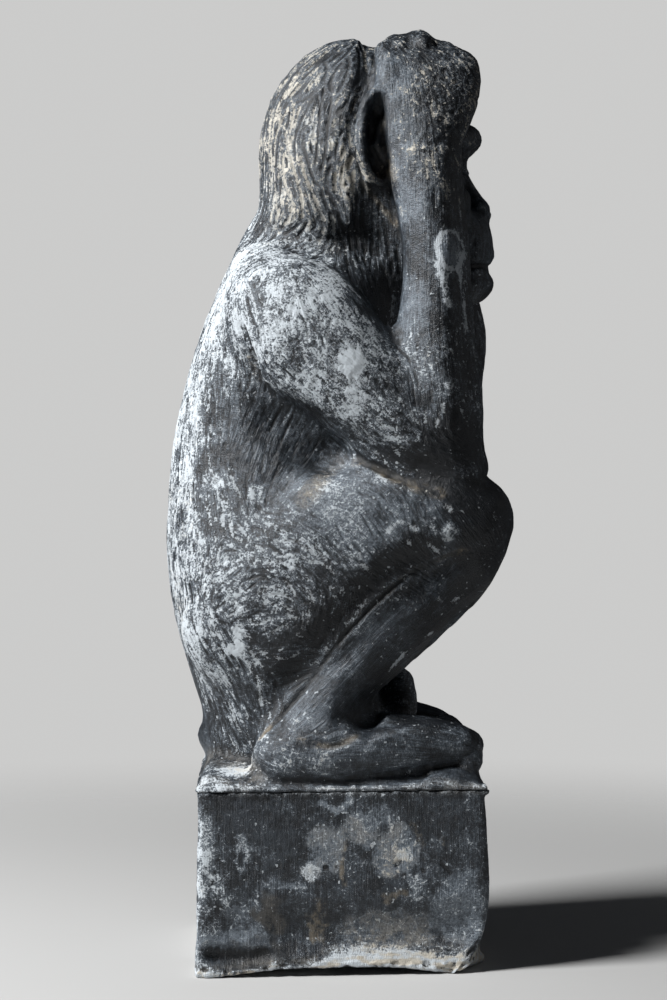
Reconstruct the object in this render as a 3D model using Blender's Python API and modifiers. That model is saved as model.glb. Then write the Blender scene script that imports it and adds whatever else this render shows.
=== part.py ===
"""Lead monkey statue: a squatting monkey with both hands on its head, on a box plinth.

World units are metres and +Z is up. The monkey faces +X and its right side faces -Y. The origin is
the centre of the plinth's underside. Station numbers inside the functions are millimetres.
"""

import math

import bmesh
import bpy
from mathutils import Matrix, Vector

MM = 0.001

# The plinth, and the low ground that is cast with the figure.
PLINTH_LENGTH = 190.0
PLINTH_WIDTH = 190.0
PLINTH_HEIGHT = 120.0
PLINTH_CORNER = 6.0
PLINTH_SKEW = 11.0
PLINTH_BELLY = 3.5
SEAM = 0.3
GROUND_EDGE = 5.0
GROUND_RISE = 12.0
GROUND_ENDS = 0.2

# The figure.
HAIR_LOCKS = 11
LOCK_RADIUS = 4.4
FINGER_RADIUS = 8.8
TOE_RADIUS = 7.6
FAR_ARM_AHEAD = 26.0
MASS_VOXEL = 3.4
MASS_SMOOTHING = 9
VOXEL = 2.6
SMOOTHING = 3
FIGURE_TRIANGLES = 9000

NEAR = -1
FAR = 1


def collection(name, hidden=False):
    made = bpy.data.collections.new(name)
    bpy.context.scene.collection.children.link(made)
    made.hide_render = hidden
    return made


def material(name, colour, roughness, metallic):
    made = bpy.data.materials.new(name)
    made.use_nodes = True
    shader = made.node_tree.nodes["Principled BSDF"]
    shader.inputs["Base Color"].default_value = (*colour, 1.0)
    shader.inputs["Roughness"].default_value = roughness
    shader.inputs["Metallic"].default_value = metallic
    made.diffuse_color = (*colour, 1.0)
    return made


def between(rows, steps=6):
    """Rows on a smooth curve through the given rows, so that a few stations give a smooth form."""
    padded = [rows[0]] + list(rows) + [rows[-1]]
    found = []
    for a, b, c, d in zip(padded, padded[1:], padded[2:], padded[3:]):
        for step in range(steps):
            t = step / steps
            found.append([
                q + 0.5 * t * (r - p + t * (2 * p - 5 * q + 4 * r - s + t * (3 * q - p - 3 * r + s)))
                for p, q, r, s in zip(a, b, c, d)
            ])
    found.append(list(rows[-1]))
    return found


def skin(form, rings):
    """A closed surface over rings of points, in millimetres, with a fan on each end."""
    rows = [[form.verts.new(Vector(point) * MM) for point in ring] for ring in rings]
    count = len(rows[0])
    for low, high in zip(rows, rows[1:]):
        for i in range(count):
            j = (i + 1) % count
            form.faces.new((low[i], low[j], high[j], high[i]))
    for row, flip in ((rows[0], True), (rows[-1], False)):
        middle = form.verts.new(sum((v.co for v in row), Vector()) / count)
        for i in range(count):
            j = (i + 1) % count
            ends = (row[j], row[i]) if flip else (row[i], row[j])
            form.faces.new((*ends, middle))


def oval(centre, along, across, half_along, half_across, power=2.0, count=28):
    """A ring round the centre: a circle stretched along two directions, squarer for a higher power."""
    points = []
    for k in range(count):
        turn = 2 * math.pi * k / count
        c, s = math.cos(turn), math.sin(turn)
        u = math.copysign(abs(c) ** (2 / power), c) * half_along
        v = math.copysign(abs(s) ** (2 / power), s) * half_across
        points.append(centre + along * u + across * v)
    return points


def limb(form, stations, steps=6, power=2.0, count=24):
    """A round-ended limb through stations of x, y, z, half width sideways and half depth."""
    rows = between(stations, steps)
    rings = []
    last = len(rows) - 1
    for i, row in enumerate(rows):
        centre = Vector(row[:3])
        direction = (Vector(rows[min(i + 1, last)][:3]) - Vector(rows[max(i - 1, 0)][:3])).normalized()
        side = Vector((0, 1, 0))
        side = (side - direction * side.dot(direction)).normalized()
        depth = direction.cross(side)
        shells = [(0.0, 1.0)]
        if i in (0, last):
            dome = min(row[3], row[4])
            shells = [(dome * math.sin(a), math.cos(a)) for a in (1.45, 1.2, 0.9, 0.6, 0.3, 0.0)]
        if i == last:
            shells.reverse()
        for out, share in shells:
            place = centre + direction * (-out if i == 0 else out)
            rings.append(oval(place, depth, side, row[4] * share, row[3] * share, power, count))
    skin(form, rings)


def slices(form, stations, steps=5, power=2.2):
    """A body through level slices of height, back, front and half width."""
    rings = []
    for z, back, front, half in between(stations, steps):
        centre = Vector(((back + front) / 2, 0, z))
        rings.append(oval(centre, Vector((1, 0, 0)), Vector((0, 1, 0)), (front - back) / 2, half, power))
    skin(form, rings)


def ball(form, centre, radii, tilt=0.0):
    """A ball stretched to three radii; tilt turns it about the sideways axis, nose down."""
    turn = Matrix.Rotation(math.radians(tilt), 3, "Y")
    along, across, up = (turn @ Vector(axis) for axis in ((1, 0, 0), (0, 1, 0), (0, 0, 1)))
    rings = []
    for k in range(11):
        lift = math.radians(-80 + 16 * k)
        middle = Vector(centre) + up * radii[2] * math.sin(lift)
        share = math.cos(lift)
        rings.append(oval(middle, along, across, radii[0] * share, radii[1] * share, 2.0, 20))
    skin(form, rings)


def rod(form, points, radii):
    """A round rod through points, with a radius at each, and round ends."""
    limb(form, [(*point, radius, radius) for point, radius in zip(points, radii)], 4, count=12)


def torso(form):
    """The hunched trunk: its back line runs from the rump at the bottom to the nape."""
    slices(form, [
        (118, -82, 30, 48),
        (140, -87, 36, 60),
        (164, -88, 36, 71),
        (193, -97, 30, 79),
        (228, -107, 24, 84),
        (270, -113, 22, 85),
        (315, -112, 26, 74),
        (355, -108, 34, 68),
        (395, -99, 42, 75),
        (422, -91, 45, 82),
        (443, -83, 46, 78),
        (460, -76, 46, 65),
        (475, -69, 46, 53),
        (500, -57, 48, 46),
        (520, -44, 52, 42),
    ])
    for side in (NEAR, FAR):
        limb(form, [(-44, side * 12, 474, 22, 25), (-43, side * 36, 457, 28, 31), (-40, side * 56, 441, 30, 38)])


def neck(form):
    """The throat with its ruff of long hair, which runs down onto the chest."""
    slices(form, [
        (400, -20, 48, 40),
        (430, -10, 56, 43),
        (455, -4, 72, 44),
        (480, -20, 86, 46),
        (505, -30, 84, 48),
        (530, -30, 80, 48),
    ])


def head(form):
    """The skull under its cap of hair, which falls straight to the nape and ends in a step."""
    ball(form, (20, 0, 546), (67, 56, 80.5))
    ball(form, (40, 0, 552), (47, 54, 52))
    ball(form, (56, 0, 579), (34, 46, 33))
    slices(form, [
        (490, -52, 22, 48),
        (500, -51, 30, 55),
        (520, -47, 42, 56),
        (546, -46.5, 60, 56),
        (566, -42, 66, 54),
    ], power=2.4)


def hair(form):
    """Long locks from the crown down to the nape, side by side all round the back of the head."""
    for side in (NEAR, FAR):
        for k in range(HAIR_LOCKS):
            share = (k + 0.5) / HAIR_LOCKS
            turn = math.radians(78 * share + 3)
            phase = 1.9 * k + 0.6 * side
            points, radii = [], []
            for step in range(10):
                fall = step / 9
                drop = max(0.0, fall - 0.6) / 0.4
                lift = math.radians(max(84 - 140 * fall, 0.0))
                wave = math.radians(3.5) * math.sin(2.6 * math.pi * fall + phase)
                x = 20 - (66.5 * math.cos(lift) + 5 * drop * drop) * math.cos(turn + wave)
                y = 54 * math.cos(lift) * math.sin(turn + wave) + 1.5
                z = 546 + 81.5 * math.sin(lift) - (54 + 3 * math.sin(2.3 * phase)) * drop
                points.append((x, side * y, z))
                radii.append(LOCK_RADIUS * (0.6 + 0.5 * math.sin(math.pi * min(0.92, fall + 0.16))))
            rod(form, points, radii)


def face(form):
    """The brow, the deep eye sockets under it, the flat nose and the long-lipped muzzle."""
    rod(form, [(68, -46, 550), (86, -31, 558), (95, -12, 560), (95, 12, 560), (86, 31, 558), (68, 46, 550)],
        (9, 10, 11, 11, 10, 9))
    rod(form, [(92, 0, 556), (91, 0, 540), (100, 0, 522)], (8, 6, 7))
    ball(form, (104, 0, 513), (10, 12, 9))
    ball(form, (64, 0, 528), (27, 43, 36))
    for side in (NEAR, FAR):
        ball(form, (86, side * 20, 541), (7, 10, 7))
        ball(form, (77, side * 29, 514), (19, 18, 17))
        ball(form, (103, side * 8, 509), (8, 6, 6))
    ball(form, (84, 0, 491), (31, 32, 28))
    ball(form, (92, 0, 481), (25, 26, 11))
    ball(form, (86, 0, 461), (31, 26, 14))
    ball(form, (86, 0, 456), (27, 20, 12))


def ear(form, side):
    """A thin upright ear, cupped forwards, with a rolled rim round its hollow."""
    ball(form, (27, side * 57, 554), (9, 9, 26))
    rim = [(36, 58, 579), (26, 64, 584), (17, 69, 572), (14, 70, 553), (16, 68, 536), (22, 62, 526), (29, 56, 524)]
    rod(form, [(x, side * y, z) for x, y, z in rim], (4, 4.6, 5, 5, 5, 4.6, 4))


def arm(form, side):
    """The upper arm hangs forwards to the elbow on the knee, and the forearm stands on it."""
    ahead = FAR_ARM_AHEAD if side == FAR else 0.0
    limb(form, [
        (-44, side * 57, 431, 30, 40),
        (-30, side * 64, 428, 32, 45),
        (-12, side * 68, 412, 31, 45),
        (6 + 0.2 * ahead, side * 71, 393, 29, 40),
        (26 + 0.5 * ahead, side * 72, 374, 27, 38),
        (50 + 0.8 * ahead, side * 72, 350, 26, 30),
        (74 + ahead, side * 71, 334, 23, 24),
    ])
    limb(form, [
        (78 + ahead, side * 70, 334, 20, 20),
        (69 + 0.8 * ahead, side * 71, 362, 27, 31),
        (66 + 0.9 * ahead, side * 71, 395, 27, 29.5),
        (66 + 1.1 * ahead, side * 70, 430, 25, 27),
        (67 + 0.8 * ahead, side * 69, 464, 23, 24.5),
        (64 + 0.4 * ahead, side * 67, 500, 22, 25),
        (59 + 0.1 * ahead, side * 64, 535, 21, 26),
        (58, side * 62, 556, 19, 26),
    ])


def hand(form, side):
    """The hand lies up the side of the head, and its fingers bend over the top to the middle."""
    limb(form, [
        (56, side * 62, 548, 18, 26),
        (59, side * 61, 566, 17, 31),
        (62, side * 57, 584, 16, 35),
        (63, side * 50, 600, 15, 36),
        (63, side * 42, 608, 12, 34),
    ], power=2.4)
    tops = ((42, 620), (58, 623), (75, 616), (90, 603))
    for k, (x, z) in enumerate(tops):
        size = FINGER_RADIUS * (1.0, 1.06, 1.02, 0.92)[k]
        rod(form, [
            (x, side * 50, z - 16),
            (x, side * 38, z - 1.5),
            (x + 0.5, side * 24, z),
            (x + 1, side * 9, z - 1),
            (x + 1, side * 3, z - 4),
        ], (size, size * 1.06, size, size * 0.92, size * 0.85))
    rod(form, [(40, side * 63, 556), (35, side * 62, 582), (35, side * 55, 602), (33, side * 44, 614)],
        (11, 10, 9, 8))


def leg(form, side):
    """The folded leg: a broad thigh up to the knee, and the shin back down to the heel."""
    limb(form, [
        (-62, side * 42, 212, 34, 50),
        (-42, side * 48, 232, 39, 64),
        (-18, side * 52, 254, 40, 64),
        (8, side * 56, 280, 38, 61),
        (42, side * 59, 298, 36, 46),
        (70, side * 60, 302, 34, 38),
        (88, side * 60, 297, 30, 32),
    ], power=2.5)
    ball(form, (91, side * 60, 297), (29.5, 28, 31))
    limb(form, [
        (95, side * 60, 284, 23, 22),
        (82, side * 60, 258, 23, 21),
        (56, side * 61, 236, 25, 24),
        (32, side * 62, 214, 25, 23),
        (8, side * 64, 192, 24, 23),
        (-14, side * 67, 168, 23, 23),
        (-30, side * 70, 150, 21, 21),
    ])


def foot(form, side):
    """The long foot with its heel at the plinth's edge, turned in, and five toes in front."""
    limb(form, [
        (-38, side * 75, 140, 21, 21),
        (-14, side * 74, 144, 22.5, 26),
        (12, side * 71, 146, 23.5, 25),
        (38, side * 67, 148, 25, 21),
        (62, side * 61, 149, 27, 17),
        (80, side * 56, 148, 28, 13),
    ], power=2.7)


def toes(form, side):
    """Five toes on the front of the foot, the longest beside the big one."""
    for k in range(5):
        out = 37 + 10.5 * k
        long = (2.0, 5.0, 4.0, 1.0, -5.0)[k]
        size = TOE_RADIUS * (1.12, 1.0, 0.97, 0.94, 0.9)[k]
        rod(form, [
            (70, side * (out - 1), 151),
            (84 + long, side * out, 150),
            (91 + long, side * (out - 2), 145),
        ], (size, size, size * 0.9))


def tail(form):
    """The tail starts as a knob at the foot of the back, passes under and ends curled up in front."""
    ball(form, (-81, 0, 148), (11.5, 13, 12))
    rod(form, [(-60, 0, 138), (0, 0, 138), (28, -4, 144), (42, -6, 157), (48, -5, 171), (48.5, -4, 185)],
        (13, 14, 17, 17, 14, 11))


def block(inset_ends, inset_sides, wider, z, corner):
    """A ring round the plinth's plan: its back is a little askew, so that the far side is shorter."""
    half_x, half_y = PLINTH_LENGTH / 2 + wider - inset_ends, PLINTH_WIDTH / 2 + wider - inset_sides
    ring = []
    for cx, cy, start in ((1, 1, 0), (-1, 1, 90), (-1, -1, 180), (1, -1, 270)):
        for step in range(5):
            turn = math.radians(start + 22.5 * step)
            x = cx * (half_x - corner) + corner * math.cos(turn)
            y = cy * (half_y - corner) + corner * math.sin(turn)
            if cx < 0:
                x += PLINTH_SKEW * (y + half_y) / (2 * half_y)
            ring.append((x, y, z))
    return ring


def ground(form):
    """The low ground under the figure: it rises gently from its two sides and steeply from its ends."""
    base = PLINTH_HEIGHT + SEAM
    rows = [(0, -12), (0, GROUND_EDGE - 1), (1.5, GROUND_EDGE)]
    for inset in (8, 18, 32, 52, 80):
        rows.append((inset, GROUND_EDGE + GROUND_RISE * (1 - math.exp(-inset / 26))))
    skin(form, [
        block(GROUND_ENDS * inset, inset, -1.0, base + height, PLINTH_CORNER)
        for inset, height in rows
    ])


def biggest_piece(mesh):
    """Leaves only the outer surface in the mesh, without any closed bubble inside it."""
    form = bmesh.new()
    form.from_mesh(mesh)
    left = set(form.verts)
    pieces = []
    while left:
        start = left.pop()
        piece, edge = {start}, [start]
        while edge:
            for link in edge.pop().link_edges:
                for vert in link.verts:
                    if vert in left:
                        left.discard(vert)
                        piece.add(vert)
                        edge.append(vert)
        pieces.append(piece)
    pieces.sort(key=len)
    bmesh.ops.delete(form, geom=[v for piece in pieces[:-1] for v in piece], context="VERTS")
    form.to_mesh(mesh)
    form.free()


def merged(form, home, name, voxel, smoothing):
    """One skin round all the overlapping forms, smoothed like worked clay."""
    rough = bpy.data.meshes.new(name + "_forms")
    form.to_mesh(rough)
    form.free()
    holder = bpy.data.objects.new(name + "_forms", rough)
    home.objects.link(holder)
    join = holder.modifiers.new("join", "REMESH")
    join.mode = "VOXEL"
    join.voxel_size = voxel * MM
    soften = holder.modifiers.new("soften", "SMOOTH")
    soften.iterations = smoothing
    soften.factor = 0.5
    graph = bpy.context.evaluated_depsgraph_get()
    made = bpy.data.meshes.new_from_object(holder.evaluated_get(graph))
    made.name = name
    bpy.data.objects.remove(holder)
    return made


def monkey(home, cutters, lead):
    """The whole figure as one closed body with a flat underside on the plinth."""
    form = bmesh.new()
    torso(form)
    neck(form)
    head(form)
    for side in (NEAR, FAR):
        arm(form, side)
        leg(form, side)
        foot(form, side)
    masses = merged(form, home, "masses", MASS_VOXEL, MASS_SMOOTHING)

    form = bmesh.new()
    form.from_mesh(masses)
    hair(form)
    face(form)
    for side in (NEAR, FAR):
        ear(form, side)
        hand(form, side)
        toes(form, side)
    tail(form)
    ground(form)
    mesh = merged(form, home, "monkey", VOXEL, SMOOTHING)
    biggest_piece(mesh)
    bpy.data.meshes.remove(masses)

    figure = bpy.data.objects.new("monkey", mesh)
    home.objects.link(figure)
    thin = figure.modifiers.new("thin", "DECIMATE")
    thin.ratio = FIGURE_TRIANGLES / sum(len(face.vertices) - 2 for face in mesh.polygons)
    flat = figure.modifiers.new("flat", "BOOLEAN")
    flat.operation = "DIFFERENCE"
    flat.solver = "EXACT"
    flat.object = cutter("under_the_figure", cutters, PLINTH_HEIGHT + SEAM)
    mesh.materials.clear()
    mesh.materials.append(lead)


def cutter(name, cutters, top):
    """A big box whose top is at the given height."""
    form = bmesh.new()
    bmesh.ops.create_cube(form, size=1)
    for vert in form.verts:
        vert.co = Vector((vert.co.x * 300, vert.co.y * 300, top - 20 + vert.co.z * 40)) * MM
    mesh = bpy.data.meshes.new(name)
    form.to_mesh(mesh)
    form.free()
    made = bpy.data.objects.new(name, mesh)
    cutters.objects.link(made)
    made.hide_render = True
    made.display_type = "WIRE"
    return made


def plinth(home, lead):
    """The box plinth: its front bellies out, and its foot is a touch wider than its top."""
    form = bmesh.new()
    foot_rows = ((0, -0.6), (1.6, 1.0), (8, 1.4), (20, 1.4))
    rows = [*foot_rows, *((z, 1.0 - z / PLINTH_HEIGHT) for z in (36, 52, 68, 84, 100, PLINTH_HEIGHT - 2))]
    rings = []
    for z, wider in [*rows, (PLINTH_HEIGHT, -2.0)]:
        belly = PLINTH_BELLY * math.sin(math.pi * min(1.0, z / PLINTH_HEIGHT)) ** 1.2
        rings.append([
            (x + belly * max(0.0, x / PLINTH_LENGTH + 0.5) ** 4, y, z)
            for x, y, z in block(0, 0, wider, z, PLINTH_CORNER)
        ])
    skin(form, rings)
    bmesh.ops.recalc_face_normals(form, faces=form.faces)
    mesh = bpy.data.meshes.new("plinth")
    form.to_mesh(mesh)
    form.free()
    mesh.materials.append(lead)
    home.objects.link(bpy.data.objects.new("plinth", mesh))


def main():
    for old in list(bpy.data.objects):
        bpy.data.objects.remove(old)
    home = collection("lead_monkey_statue")
    cutters = collection("forms_and_cutters", hidden=True)
    monkey(home, cutters, material("lead_figure", (0.10, 0.12, 0.14), 0.6, 0.35))
    plinth(home, material("lead_plinth", (0.12, 0.13, 0.15), 0.65, 0.3))


main()
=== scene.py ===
import math
import random

import bpy
import numpy as np
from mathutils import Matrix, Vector, kdtree, noise


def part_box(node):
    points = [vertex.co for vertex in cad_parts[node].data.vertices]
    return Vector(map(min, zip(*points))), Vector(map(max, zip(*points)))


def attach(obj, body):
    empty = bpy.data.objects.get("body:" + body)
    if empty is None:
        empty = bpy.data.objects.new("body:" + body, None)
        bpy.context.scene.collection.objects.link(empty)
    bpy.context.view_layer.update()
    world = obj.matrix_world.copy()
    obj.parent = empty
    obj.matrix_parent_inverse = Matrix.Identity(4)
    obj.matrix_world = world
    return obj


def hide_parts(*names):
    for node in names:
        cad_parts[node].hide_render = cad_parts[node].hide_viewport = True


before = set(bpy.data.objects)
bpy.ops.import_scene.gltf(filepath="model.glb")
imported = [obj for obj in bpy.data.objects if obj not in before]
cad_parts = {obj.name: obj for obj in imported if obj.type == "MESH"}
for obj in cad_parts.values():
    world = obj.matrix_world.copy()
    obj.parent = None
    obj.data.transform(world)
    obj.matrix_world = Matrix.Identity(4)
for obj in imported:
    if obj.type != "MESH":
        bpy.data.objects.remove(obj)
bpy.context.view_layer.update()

# THE FIGURE
# A squatting monkey with its hands on its head, cast hollow in lead in one piece with the thin
# ground plate under its feet. The founder's solid gives the forms; the face, fingers and toes are
# dressed up on it, and the hair is cut all over with round-nosed tools before the lead was cast.
MM = 0.001
NEAR, FAR = -1, 1
FOREARM_AHEAD = 26
ROUGH_GRAIN, FINE_GRAIN = 2.0 * MM, 1.35 * MM
FIGURE_TRIANGLES = 192000
TOP_OF_PLINTH = 120.3 * MM
THINNED_WHERE_PLAIN = 4.0
ANKLE, UP_THE_SHIN, LEANS_IN = (4, 182), (0.69, 0.72), 15
BEAD_STEP, BEAD_HEIGHT, BEAD_SIZES = 2.2, 121.5, (1.3, 2.6)
SEED_OF_BEAD, SEED_OF_HAIR = 4, 7
FINGER_SIZE, TOE_SIZE, TOE_PITCH = 8.4, 6.6, 10.5


def alone(*pieces):
    """Selects these pieces and nothing else; the first becomes the active one."""
    for other in list(bpy.context.selected_objects):
        other.select_set(False)
    for piece in pieces:
        piece.select_set(True)
    bpy.context.view_layer.objects.active = pieces[0]


def carried_over(node, name):
    """A copy of one of the founder's solids, with its loose triangles joined up."""
    piece = bpy.data.objects.new(name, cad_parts[node].data.copy())
    bpy.context.scene.collection.objects.link(piece)
    piece.data.materials.clear()
    alone(piece)
    bpy.ops.object.mode_set(mode="EDIT")
    bpy.ops.mesh.select_all(action="SELECT")
    bpy.ops.mesh.remove_doubles(threshold=0.000001)
    bpy.ops.object.mode_set(mode="OBJECT")
    return piece


def worked(piece, kind, **settings):
    """Puts one modifier on a piece and applies it at once."""
    alone(piece)
    modifier = piece.modifiers.new(kind.lower(), kind)
    for setting, value in settings.items():
        setattr(modifier, setting, value)
    bpy.ops.object.modifier_apply(modifier=modifier.name)


def recast(piece, grain):
    """Melts a piece and all that was joined to it into one even skin."""
    worked(piece, "REMESH", mode="VOXEL", voxel_size=grain)


def bulge(parts, x, y, z, radii, turn=(0, 0, 0)):
    """One lump of clay, a ball stretched to three radii and turned, in millimetres."""
    bpy.ops.mesh.primitive_uv_sphere_add(
        segments=20, ring_count=12, location=(x * MM, y * MM, z * MM),
        rotation=[math.radians(angle) for angle in turn])
    lump = bpy.context.object
    lump.scale = [radius * MM for radius in radii]
    bpy.ops.object.transform_apply()
    parts.append(lump)


def roll(parts, points, radii):
    """A roll of clay through points in millimetres, with its own thickness at each."""
    for (start, thick), (end, thin) in zip(zip(points, radii), zip(points[1:], radii[1:])):
        start, end = Vector(start), Vector(end)
        steps = max(2, round((end - start).length / (0.45 * min(thick, thin))))
        for k in range(steps + 1):
            place, size = start.lerp(end, k / steps), thick + (thin - thick) * k / steps
            bulge(parts, *place, (size, size, size))


def joined(piece, parts):
    """Presses the added lumps onto a piece."""
    alone(piece, *parts)
    bpy.ops.object.join()


def arrays(piece):
    """Where each point of a piece is, and which way it faces."""
    count = len(piece.data.vertices)
    places, facing = np.empty(count * 3), np.empty(count * 3)
    piece.data.vertices.foreach_get("co", places)
    piece.data.vertices.foreach_get("normal", facing)
    return places.reshape(-1, 3), facing.reshape(-1, 3)


def put_back(piece, places):
    """Writes moved points back to a piece."""
    piece.data.vertices.foreach_set("co", places.ravel())
    piece.data.update()


def tree_of(places):
    """Finds the points near a place."""
    tree = kdtree.KDTree(len(places))
    for index, place in enumerate(places.tolist()):
        tree.insert(place, index)
    tree.balance()
    return tree


def through(points, gap):
    """Places along a smooth line through points, no further apart than the gap."""
    points = [Vector(point) for point in points]
    line = []
    for k in range(len(points) - 1):
        before, after = points[max(k - 1, 0)], points[min(k + 2, len(points) - 1)]
        a, b = points[k], points[k + 1]
        steps = max(1, math.ceil((b - a).length / gap))
        for s in range(steps):
            t = s / steps
            line.append(0.5 * ((2 * a) + (b - before) * t + (2 * before - 5 * a + 4 * b - after) * t * t
                               + (3 * a - before - 3 * b + after) * t ** 3))
    return line + [points[-1]]


def pressed(piece, cuts):
    """Sinks rounded grooves or hollows into a piece, or raises them where the depth is less than
    nothing. Each is a line of points, a half width, a depth in millimetres and its ends' sharpness."""
    places, facing = arrays(piece)
    tree = tree_of(places)
    depth = np.zeros(len(places))
    for points, half, deep, sharp in cuts:
        line = through([[value * MM for value in point] for point in points], half * MM / 3)
        for k, place in enumerate(line):
            from_end = min(k, len(line) - 1 - k) + 1
            end = min(1.0, from_end / (len(line) * 0.5 * sharp + 0.001)) if sharp else 1
            for _, index, away in tree.find_range(place, half * MM):
                sunk = deep * end * (1 - (away / (half * MM)) ** 2) ** 2
                if abs(sunk) > abs(depth[index]):
                    depth[index] = sunk
    put_back(piece, places - facing * depth[:, None] * MM)


def both_sides(cuts):
    """The cuts of a table on the near side, and mirrored on the far side."""
    return [([(x, side * y, z) for x, y, z in points], *rest)
            for side in (NEAR, FAR) for points, *rest in cuts]


figure = carried_over("monkey", "lead_figure")
recast(figure, ROUGH_GRAIN)
worked(figure, "SMOOTH", factor=0.5, iterations=14)

# The broad hollows: eyes, ears, armpits, the fold under the thigh, the soles and the forearms.
pressed(figure, both_sides([
    ([(94, 21, 543)], 15, 5.5, 0),
    ([(84, 34, 529), (92, 20, 527)], 10, 2.5, 0),
    ([(30, 66, 576), (26, 66, 556), (28, 64, 534)], 9, 4.0, 0),
    ([(-44, 70, 368), (-18, 69, 348), (2, 72, 336)], 27, 6.0, 0.5),
    ([(-62, 74, 400), (-50, 73, 380), (-25, 70, 358), (7, 74, 338)], 12, 3.0, 0.5),
    ([(-50, 78, 172), (-33, 82, 194), (-1, 88, 233), (31, 90, 264), (60, 88, 280)], 14, 4.0, 0.4),
    ([(14, 88, 167), (30, 86, 173), (56, 80, 178)], 18, 9.0, 0.4),
    ([(2, 92, 168), (14, 90, 170)], 11, 4.0, 0),
    ([(-46, 94, 127), (5, 93, 127), (60, 84, 131)], 8, 3.0, 0.3),
    ([(66, 90, 126), (84, 70, 126), (92, 30, 126)], 18, -3.5, 0.3),
    ([(86, 80, 525), (88, 84, 470), (88, 86, 420), (90, 86, 350)], 24, 6.0, 0.3),
    ([(54, 86, 520), (56, 90, 480)], 9, -1.2, 0.3),
    ([(-36, 79, 374), (2, 87, 352), (34, 93, 336), (66, 93, 326)], 15, 4.0, 0.4),
    ([(2, 74, 352), (-14, 70, 356)], 16, 4.0, 0),
    ([(26, 60, 566), (26, 62, 550), (30, 60, 538)], 8, 2.5, 0.3),
]))

# The calf is turned under: its lower side leans in, so that it lies in its own shade.
places, _ = arrays(figure)
ahead, above = places[:, 0] / MM - ANKLE[0], places[:, 2] / MM - ANKLE[1]
along = ahead * UP_THE_SHIN[0] + above * UP_THE_SHIN[1]
below = ahead * UP_THE_SHIN[1] - above * UP_THE_SHIN[0]
turned = np.clip((below + 13) / 32, 0, 1) ** 1.4 * np.clip((along + 14) / 20, 0, 1)
turned = turned * np.clip((122 - along) / 26, 0, 1)
out = np.abs(places[:, 1]) / MM
places[:, 1] -= np.sign(places[:, 1]) * LEANS_IN * turned * np.clip((out - 56) / 14, 0, 1) * (below < 30) * MM
put_back(figure, places)

# What is laid on: eyes with their lids, brows, nose and lips, ears, fingers, toes, a web that
# closes the far armpit, and the bead of solder all along the seam.
lumps = []
for side in (NEAR, FAR):
    bulge(lumps, 84, side * 21, 542, (9, 9.5, 8))
    upper = [(84, 12, 542), (91, 15, 547), (93.5, 21, 549), (91, 27, 547.5), (83, 31, 542)]
    lower = [(84, 12, 541), (91, 15.5, 537), (93, 21, 535.5), (90, 27, 537), (83, 31, 541)]
    roll(lumps, [(x, side * y, z) for x, y, z in upper], (2.2, 2.6, 2.9, 2.6, 2.2))
    roll(lumps, [(x, side * y, z) for x, y, z in lower], (2.0, 2.3, 2.4, 2.3, 2.0))
    roll(lumps, [(72, side * 46, 549), (87, side * 34, 556), (96, side * 19, 560), (99, side * 5, 559)],
         (5, 6.5, 7.5, 6))
    roll(lumps, [(103, side * 11, 514), (108, side * 9, 509), (109, side * 5, 506)], (3.6, 4.2, 3.2))
    roll(lumps, [(98, side * 22, 477), (106, side * 12, 480), (109, 0, 480.5)], (3.6, 4.4, 4.8))
    roll(lumps, [(97, side * 21, 468), (105, side * 12, 467), (108, 0, 466.5)], (3.4, 4.2, 4.6))
    rim = [(35, 60, 581), (27, 66, 585), (18, 70, 574), (14.5, 72, 556), (16, 70, 538), (21, 65, 527),
           (29, 60, 523), (36, 58, 528)]
    roll(lumps, [(x, side * y, z) for x, y, z in rim], (2.6, 3.2, 3.6, 3.6, 3.6, 3.4, 3.2, 3.0))
    roll(lumps, [(34, side * 62, 566), (28, side * 65, 562), (26, side * 65, 548), (30, side * 62, 539)],
         (2.2, 2.4, 2.4, 2.2))
    for k, (x, z) in enumerate(((42, 619), (58, 622.5), (75, 615), (89.5, 602.5))):
        size = FINGER_SIZE * (1.0, 1.06, 1.02, 0.92)[k]
        for y, drop, wide in ((46, 6, 1.06), (33, 0.6, 1.08), (20, 0.4, 0.98), (9, 2.2, 0.95)):
            bulge(lumps, x + 0.6, side * y, z - drop, (size * wide * 0.92, size * 1.15, size * wide))
    for k in range(5):
        out, long = 37 + TOE_PITCH * k, (2.0, 5.0, 4.0, 1.0, -5.0)[k]
        size = TOE_SIZE * (1.12, 1.0, 0.97, 0.94, 0.9)[k]
        bulge(lumps, 76 + long, side * (out - 1), 150.5, (size * 1.5, size * 0.84, size))
        bulge(lumps, 87 + long, side * (out - 1.5), 147.5,
              (size * 1.25, size * 0.8, size * 0.95), (0, 18, 0))
        bulge(lumps, 89 + long * 0.5, side * (out - 1.5), 137, (size * 1.3, size * 0.9, 10))
roll(lumps, [(38, 34, 339), (24, 48, 343), (13, 58, 348)], (6, 6, 5))
bead = random.Random(SEED_OF_BEAD)
corners = [(-93.5, -93.2), (94.5, -93.2), (94.5, 92), (-83, 92), (-93.5, -93.2)]
for (x0, y0), (x1, y1) in zip(corners, corners[1:]):
    steps = round(math.hypot(x1 - x0, y1 - y0) / BEAD_STEP)
    for k in range(steps):
        size = bead.uniform(*BEAD_SIZES)
        bulge(lumps, x0 + (x1 - x0) * k / steps, y0 + (y1 - y0) * k / steps, BEAD_HEIGHT,
              (size, size, size * 1.2))
joined(figure, lumps)
recast(figure, FINE_GRAIN)
worked(figure, "SMOOTH", factor=0.5, iterations=3)

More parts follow.
